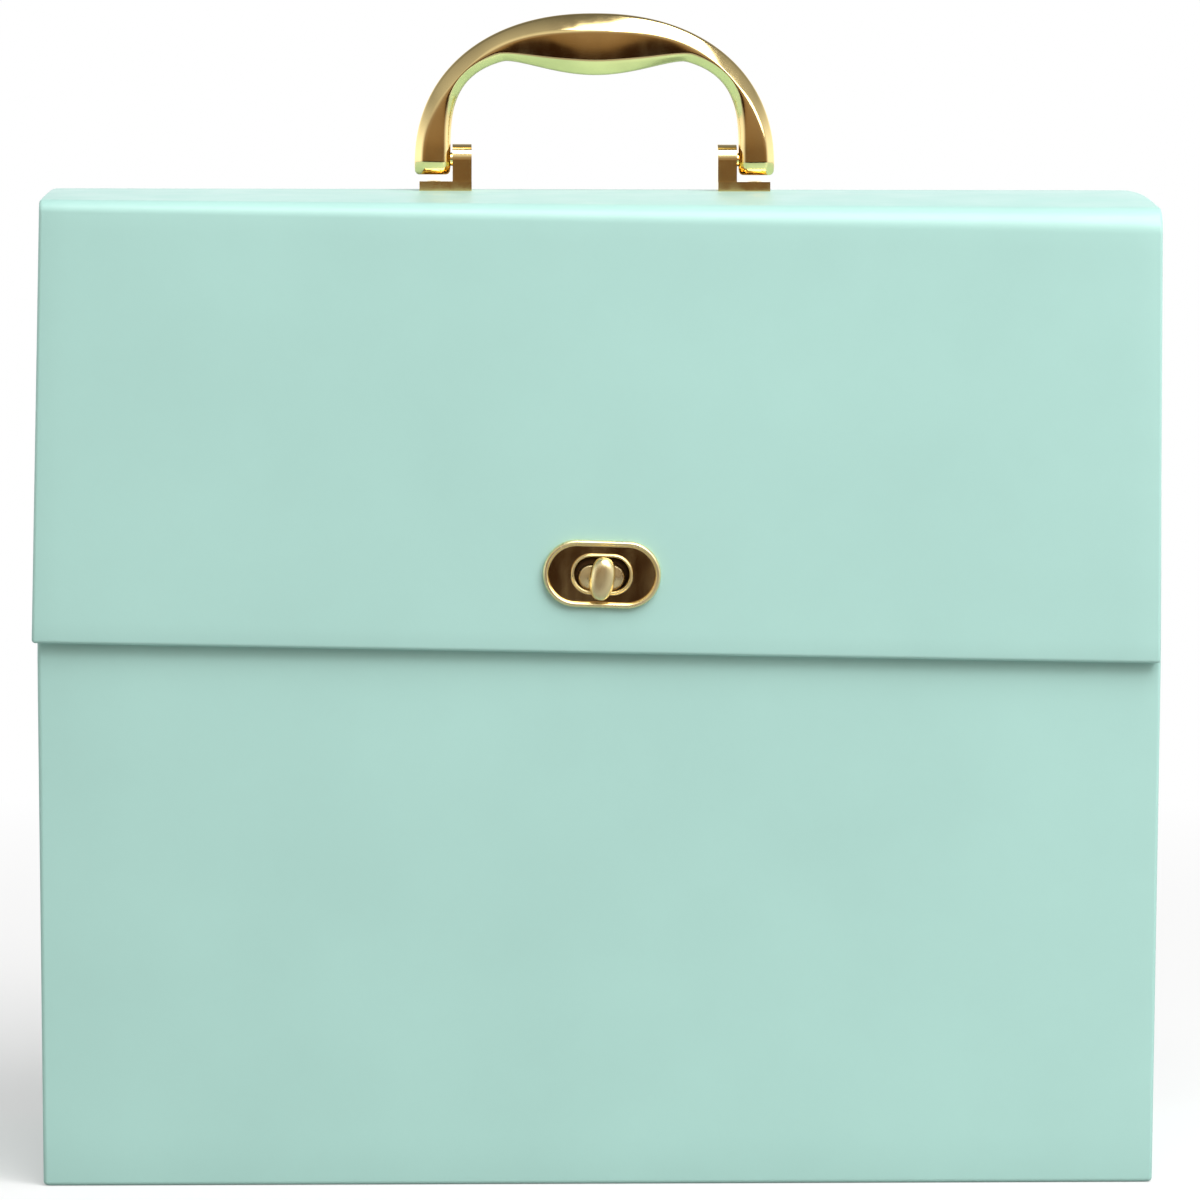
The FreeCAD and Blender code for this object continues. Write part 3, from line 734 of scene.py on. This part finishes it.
def handle_piece():
    """The bail handle, lofted from one foot over the grip to the other."""
    foot = ARCH_CENTRE - HANDLE_LOW.z
    feet = ((foot, 1.1, 2.6), (foot - 0.25, 0.6, 2.1), (foot - 0.9, 0.15, 1.3), (foot - 2.3, 0.0, 0.0))
    rings = []
    ends = []
    for angle in (0.0, pi):
        outer, inner = arch_point(ARCH_OUTER, angle), arch_point(ARCH_INNER, angle)
        shape = handle_shape(angle)
        ends.append([
            handle_section(outer, inner, shape, shrink_r, shrink_y, drop)
            for drop, shrink_r, shrink_y in feet
        ])
    rings += ends[0]
    for angle in stepped(0, pi, 120)[1:-1]:
        outer, inner = arch_point(ARCH_OUTER, angle), arch_point(ARCH_INNER, angle)
        swell = max(0.0, 1 - (inner.x / GRIP_REACH) ** 2) ** GRIP_POWER
        inner.y -= GRIP_DROP * swell
        rings.append(handle_section(outer, inner, handle_shape(angle)))
    rings += reversed(ends[1])
    return loft("bail_handle", rings, gold, sharp_angle=60)


handle = handle_piece()
recalculate_normals(handle)
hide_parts("handle")
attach(handle, "bail")


# ---------------------------------------------------------------- the bracket rivets
BRACKET_BASE_TOP = LID_TOP + 2.8
RIVET_X, RIVET_Y = 47.5, 3.0


def turned_rings(centre, profile, segments=28):
    """Rings round a vertical axis. The profile holds (radius, z)."""
    rings = []
    for radius, z in profile:
        turns = stepped(0, 2 * pi, segments)[:-1]
        rings.append([(centre[0] + radius * cos(a), centre[1] + radius * sin(a), z) for a in turns])
    return rings


def bracket_rivet(name, x, y):
    """One countersunk rivet: a shallow head in the bracket's base, a shank, and a flattened tail."""
    low = box_mm("bracket_rivets")[0]
    base_top = BRACKET_BASE_TOP
    profile = [
        (0.6, base_top + 0.16), (1.5, base_top + 0.12), (2.05, base_top + 0.02), (2.1, base_top - 0.3),
        (1.2, base_top - 1.1), (1.2, low.z + 0.8), (2.1, low.z + 0.7), (2.2, low.z + 0.3), (1.9, low.z),
    ]
    obj = loft(name, turned_rings((x, y), profile), gold, sharp_angle=50)
    recalculate_normals(obj)
    return obj


for rivet_x in (-RIVET_X, RIVET_X):
    for rivet_y in (-RIVET_Y, RIVET_Y):
        side_name = "left" if rivet_x < 0 else "right"
        end_name = "front" if rivet_y < 0 else "rear"
        rivet = bracket_rivet(f"{side_name}_{end_name}_rivet", rivet_x, rivet_y)
        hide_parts("bracket_rivets")
        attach(rivet, "lid")


# ---------------------------------------------------------------- the lock
PLATE_TURN = 1.8
KEYHOLE_NARROWING = 6.2
KNOB_HALF_X, KNOB_HALF_Z = 3.6, 6.2
KNOB_POWER = 2.4
KNOB_EGG = 0.06
KNOB_TILT = 7.5


def stadium_loft(name, profile, material, middle_z, turn=0.0, closed=False):
    """A loft of stadium rings. The profile holds (length, height, y)."""
    rings = []
    c, s = cos(radians(turn)), sin(radians(turn))
    for length, height, y in profile:
        ring = [(x * c + z * s, y, middle_z - x * s + z * c) for x, z in stadium(length, height)]
        rings.append(ring)
    obj = loft(name, rings, material, closed, sharp_angle=50)
    recalculate_normals(obj)
    return obj


def face_plate():
    """The lock's plate on the flap: a raised rim, a flat field, and a collar round the keyhole."""
    face = FLAP_LOW.y
    length, height = PLATE_HIGH.x * 2, PLATE_HIGH.z - PLATE_LOW.z
    rim = [(0.4, 0.0), (0.0, 0.3), (0.0, 0.9), (0.2, 1.3), (0.7, 1.68), (1.3, 1.85), (1.9, 1.85),
           (2.5, 1.7), (2.9, 1.4), (3.05, 1.05), (3.1, 0.9), (3.3, 0.88), (3.8, 0.88)]
    lip = [(18.3, 0.88), (17.75, 0.88), (17.55, 0.95), (17.45, 1.18), (17.2, 1.36), (16.8, 1.42),
           (16.35, 1.34), (16.05, 1.08), (15.95, 0.7), (15.95, 0.0)]
    profile = [(length - inset, height - inset, face - rise) for inset, rise in rim]
    profile += [(wide, wide - KEYHOLE_NARROWING, face - rise) for wide, rise in lip]
    obj = stadium_loft("lock_plate", profile, gold, LOCK_Z, turn=PLATE_TURN, closed=True)
    # the raised rim and ends take the paler gold, which paints their highlights; the flat field keeps the
    # polished gold
    obj.data.materials.append(satin_highlight_gold)
    for polygon in obj.data.polygons:
        raised = polygon.center.y / MM < face - 0.93
        polygon.material_index = 1 if raised or abs(polygon.center.x) / MM > length / 2 - 1 else 0
    return obj


def keyhole_collar():
    """The collar that lines the flap's hole behind the plate. Its near-black brass is painted shade,
    standing in for the shadow inside the hole.
    """
    face = FLAP_LOW.y
    profile = [(18.6, face - 0.1), (16.15, face - 0.1), (15.95, face + 0.1), (15.95, face + 2.9),
               (16.15, face + 3.1), (18.6, face + 3.1)]
    profile = [(wide, wide - KEYHOLE_NARROWING, y) for wide, y in profile]
    return stadium_loft("keyhole_collar", profile, painted_shade_brass, LOCK_Z, turn=PLATE_TURN, closed=True)


def turret_profile(steps):
    """Stadium sizes that grow from the turret's own outline, from steps of (growth, y)."""
    length = TURRET_HIGH.x * 2
    height = TURRET_HIGH.z - TURRET_LOW.z
    return [(length + grow, height + grow, -WRAP_HIGH.y + y) for grow, y in steps]


def turret_base():
    """The base plate of the turret, on the front of the case. Its near-black brass is painted shade,
    standing in for the shadow round the turret in the flap's hole.
    """
    steps = [(4.2, 0.3), (4.2, -0.35), (3.9, -0.5), (-2.0, -0.5), (-2.0, 0.3)]
    return stadium_loft("turret_base", turret_profile(steps), painted_shade_brass, TURRET_Z, closed=True)


def turret():
    """The oval turret that stands in the flap's hole: flange and the spindle's boss."""
    face = -WRAP_HIGH.y
    steps = [
        (-1.2, -0.45), (-0.7, -0.5), (-0.5, -0.8), (-0.5, -1.9), (-0.75, -2.3), (-1.3, -2.55),
        (-2.0, -2.6), (-5.0, -2.65), (-5.4, -2.7),
    ]
    profile = turret_profile(steps)
    boss = [(6.6, -2.7), (6.4, -2.9), (6.3, -4.1), (6.0, -4.5), (5.4, -4.6)]
    profile += [(across, across - 0.6, face + y) for across, y in boss]
    # the paler gold on the turret is painted highlight
    return stadium_loft("turret", profile, satin_highlight_gold, TURRET_Z)


def knob():
    """The turn button: an upright egg-shaped wing with a cushioned face, on a short neck."""
    back = KNOB_HIGH.y
    half_x, half_z, power = KNOB_HALF_X, KNOB_HALF_Z, KNOB_POWER
    profile = [
        (0.40, 1.3), (0.40, 0.2), (0.55, 0.05), (0.80, 0.0), (0.93, -0.15), (0.99, -0.45), (1.0, -0.8),
        (0.98, -1.2), (0.93, -1.65), (0.85, -2.1), (0.73, -2.5), (0.58, -2.83), (0.40, -3.06),
        (0.20, -3.18),
    ]
    tilt = radians(KNOB_TILT)
    rings = []
    for scale, y in profile:
        ring = []
        for angle in stepped(0, 2 * pi, 56)[:-1]:
            c, s = cos(angle), sin(angle)
            reach = (abs(c) ** power + abs(s) ** power) ** (-1 / power)
            inset = half_x * (1 - scale)
            x = (half_x - inset) * reach * c * (1 + KNOB_EGG * s)
            z = (half_z - inset) * reach * s
            ring.append((x * cos(tilt) + z * sin(tilt), back + y, TURRET_Z - x * sin(tilt) + z * cos(tilt)))
        rings.append(ring)
    # the paler gold on the knob is painted highlight
    obj = loft("turn_button_knob", rings, satin_highlight_gold, sharp_angle=60)
    recalculate_normals(obj)
    return obj


collar = keyhole_collar()
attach(collar, "flap")
for lock_piece, node, body in (
    (face_plate(), "lock_face_plate", "flap"),
    (turret(), "lock_turret", "case"),
    (turret_base(), "lock_turret", "case"),
    (knob(), "turn_knob", "turn_button"),
):
    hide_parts(node)
    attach(lock_piece, body)


# ---------------------------------------------------------------- ribbons on the trays
RIBBON_GAP = 0.35
RIBBON_BULGE = 1.7
RIBBON_SWELL = 0.9
RIBBON_THICKNESS = 0.4
LOOP_HEIGHTS = {"upper_tray": 14.0, "lower_tray": 4.0}


def ribbon_line(low_z, high_z, loop_height):
    """The loop's line from the tray's wall up, over and down again: (distance from wall, z)."""
    turn_z = high_z - loop_height / 2
    line = [(RIBBON_GAP, z) for z in stepped(low_z, turn_z, 10)]
    for angle in stepped(0, pi, 12)[1:-1]:
        out = RIBBON_BULGE * (1 - cos(angle)) / 2 + RIBBON_SWELL * sin(angle) ** 2
        line.append((RIBBON_GAP + out, turn_z + loop_height / 2 * sin(angle)))
    return line + [(RIBBON_GAP + RIBBON_BULGE, z) for z in stepped(turn_z, low_z, 10)]


def ribbon_loop(name, sign, low, high, loop_height):
    """One ribbon loop, pasted inside a tray's end. Also gives its flat width and length in metres."""
    line = ribbon_line(low.z, high.z, loop_height)
    across = stepped(low.y, high.y, 4)
    points = [(sign * (high.x - offset), y, z) for offset, z in line for y in across]
    faces = []
    for row in range(len(line) - 1):
        for k in range(len(across) - 1):
            a = row * len(across) + k
            faces.append((a, a + 1, a + 1 + len(across), a + len(across)))
    obj = piece(name, points, faces, ribbon)
    thick = obj.modifiers.new("thickness", "SOLIDIFY")
    thick.thickness = RIBBON_THICKNESS * MM
    thick.offset = 0
    length = sum((Vector(a) - Vector(b)).length for a, b in zip(line, line[1:]))
    return applied(obj), ((high.y - low.y) * MM, length * MM)


for tray_name, loop in LOOP_HEIGHTS.items():
    ribbon_low, ribbon_high = box_mm(tray_name + "_ribbons")
    for end_name, end_sign in (("left", -1), ("right", 1)):
        pull, flat_size = ribbon_loop(
            f"{tray_name}_{end_name}_ribbon", end_sign, ribbon_low, ribbon_high, loop,
        )
        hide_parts(tray_name + "_ribbons")
        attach(pull, tray_name)


# ---------------------------------------------------------------- finishes on the CAD pieces
FINISH_BY_SLOT = {
    "case_board": bare_board,
    "lining_paper": cream_paper,
    "tray_board": tray_paper,
    "ledge_wood": ledge_wood,
    "gold_metal": gold,
    "steel": steel,
    "mint_paper": mint_paper,
    "ribbon": ribbon,
}
BEVEL_BY_SLOT = {"tray_board": 0.7, "ledge_wood": 0.6, "gold_metal": 0.45, "steel": 0.2, "case_board": 0.3}


def finish_cad_nodes():
    """Gives each CAD piece that stays its finish, and softens its edges."""
    for row in frame["record"]["subparts"]:
        node = NODES[row["node"]]
        node.data.materials.clear()
        node.data.materials.append(FINISH_BY_SLOT[row["material_slot"]])
        width = BEVEL_BY_SLOT.get(row["material_slot"])
        if width:
            bevel = node.modifiers.new("soft_edges", "BEVEL")
            bevel.width = width * MM
            bevel.segments = 3
            bevel.limit_method = "ANGLE"
            bevel.angle_limit = radians(50)
            bevel.harden_normals = False


finish_cad_nodes()


# ---------------------------------------------------------------- floor, light and camera
FLOOR_WHITE = (0.93, 0.93, 0.93)
FLOOR_BOUNCE = 0.35
FLOOR_RADIUS, FLOOR_BACK, FLOOR_STEPS = 1500.0, 250.0, 96
# the camera's place and target are in metres, its lens and sensor in millimetres
CAMERA_PLACE = Vector((-0.0701, -1.969, 0.3403))
CAMERA_TARGET = Vector((-0.0005, -0.069, 0.1705))
LENS, SENSOR_WIDTH = 199.4, 36.0
CAMERA_ROLL = radians(0.165)


def floor_disc():
    """A plain pale floor that fades into the white of the room. It throws back little light."""
    material, nodes, links, shader = new_material("pale_floor", FLOOR_WHITE, 0.6)
    mottle = noise(nodes, links, 3, detail=2)
    links.new(
        ramp(nodes, links, mottle, [(0.3, (0.925, 0.925, 0.925)), (0.7, (0.935, 0.935, 0.935))]),
        shader.inputs["Base Color"],
    )
    place = nodes.new("ShaderNodeTexCoord")
    distance = nodes.new("ShaderNodeVectorMath")
    distance.operation = "LENGTH"
    links.new(place.outputs["Object"], distance.inputs[0])
    fade = value_range(nodes, links, distance.outputs["Value"], 0.35, 1, 0.2, 0.9)
    white = nodes.new("ShaderNodeEmission")
    far = nodes.new("ShaderNodeMixShader")
    links.new(fade, far.inputs["Fac"])
    links.new(shader.outputs["BSDF"], far.inputs[1])
    links.new(white.outputs["Emission"], far.inputs[2])
    dim = nodes.new("ShaderNodeBsdfDiffuse")
    dim.inputs["Color"].default_value = (FLOOR_BOUNCE, FLOOR_BOUNCE, FLOOR_BOUNCE, 1)
    path = nodes.new("ShaderNodeLightPath")
    seen = nodes.new("ShaderNodeMixShader")
    links.new(path.outputs["Is Camera Ray"], seen.inputs["Fac"])
    links.new(dim.outputs["BSDF"], seen.inputs[1])
    links.new(far.outputs["Shader"], seen.inputs[2])
    links.new(seen.outputs["Shader"], nodes["Material Output"].inputs["Surface"])
    turns = stepped(0, 2 * pi, FLOOR_STEPS)[:-1]
    ring = [(FLOOR_RADIUS * cos(a), FLOOR_BACK + FLOOR_RADIUS * sin(a), 0) for a in turns]
    obj = piece("floor", ring, [tuple(range(FLOOR_STEPS))], material)


def area_light(name, place, target, size, power):
    """A square soft light aimed at a point. Lengths in metres, power in watts."""
    light = bpy.data.lights.new(name, "AREA")
    light.size = size
    light.energy = power
    obj = bpy.data.objects.new(name, light)
    obj.location = place
    obj.rotation_euler = (Vector(target) - Vector(place)).to_track_quat("-Z", "Y").to_euler()
    bpy.context.scene.collection.objects.link(obj)


def studio_world():
    """A room brightest at the horizon, dimmer above and dark in front, and white to the camera."""
    world = bpy.data.worlds.new("studio")
    bpy.context.scene.world = world
    world.use_nodes = True
    nodes, links = world.node_tree.nodes, world.node_tree.links
    nodes.clear()
    place = nodes.new("ShaderNodeTexCoord")
    split = nodes.new("ShaderNodeSeparateXYZ")
    links.new(place.outputs["Generated"], split.inputs["Vector"])
    height = value_range(nodes, links, split.outputs["Z"], 0, 1, -1, 1)
    room = ramp(nodes, links, height, [
        (0.40, (0.7, 0.7, 0.7)), (0.51, (1.35, 1.35, 1.35)), (0.58, (1.2, 1.2, 1.2)),
        (0.75, (0.36, 0.36, 0.36)), (1.0, (0.15, 0.15, 0.15)),
    ])
    ahead = ramp(nodes, links, height, [
        (0.40, (0.02, 0.008, 0.004)), (0.472, (0.035, 0.016, 0.008)), (0.492, (0.24, 0.15, 0.08)),
        (0.53, (0.32, 0.22, 0.14)), (0.62, (0.36, 0.28, 0.22)), (0.76, (0.8, 0.78, 0.75)),
    ])
    facing = value_range(nodes, links, split.outputs["Y"], 1, 0, -0.75, -0.15)
    mix = nodes.new("ShaderNodeMix")
    mix.data_type = "RGBA"
    links.new(facing, mix.inputs["Factor"])
    links.new(room, mix.inputs["A"])
    links.new(ahead, mix.inputs["B"])
    seen = nodes.new("ShaderNodeBackground")
    seen.inputs["Color"].default_value = (1, 1, 1, 1)
    lit = nodes.new("ShaderNodeBackground")
    lit.inputs["Strength"].default_value = 1.0
    links.new(mix.outputs["Result"], lit.inputs["Color"])
    path = nodes.new("ShaderNodeLightPath")
    choose = nodes.new("ShaderNodeMixShader")
    links.new(path.outputs["Is Camera Ray"], choose.inputs["Fac"])
    links.new(lit.outputs["Background"], choose.inputs[1])
    links.new(seen.outputs["Background"], choose.inputs[2])
    output = nodes.new("ShaderNodeOutputWorld")
    links.new(choose.outputs["Shader"], output.inputs["Surface"])


def add_camera():
    """A long lens at about the height of the handle, a little left of the middle."""
    data = bpy.data.cameras.new("camera")
    data.lens = LENS
    data.sensor_width = SENSOR_WIDTH
    camera = bpy.data.objects.new("camera", data)
    turn = (CAMERA_TARGET - CAMERA_PLACE).to_track_quat("-Z", "Y").to_matrix().to_4x4()
    roll = Matrix.Rotation(CAMERA_ROLL, 4, "Z")
    camera.matrix_world = Matrix.Translation(CAMERA_PLACE) @ turn @ roll
    bpy.context.scene.collection.objects.link(camera)
    bpy.context.scene.camera = camera


floor_disc()
studio_world()
area_light("overhead", place=(0.62, -1.05, 2.0), target=(0, 0, 0.15), size=1.6, power=42)
area_light("front_right", place=(1.15, -1.1, 1.0), target=(0.1, 0, 0.1), size=0.8, power=8)
add_camera()
bpy.context.scene.view_settings.view_transform = "Standard"
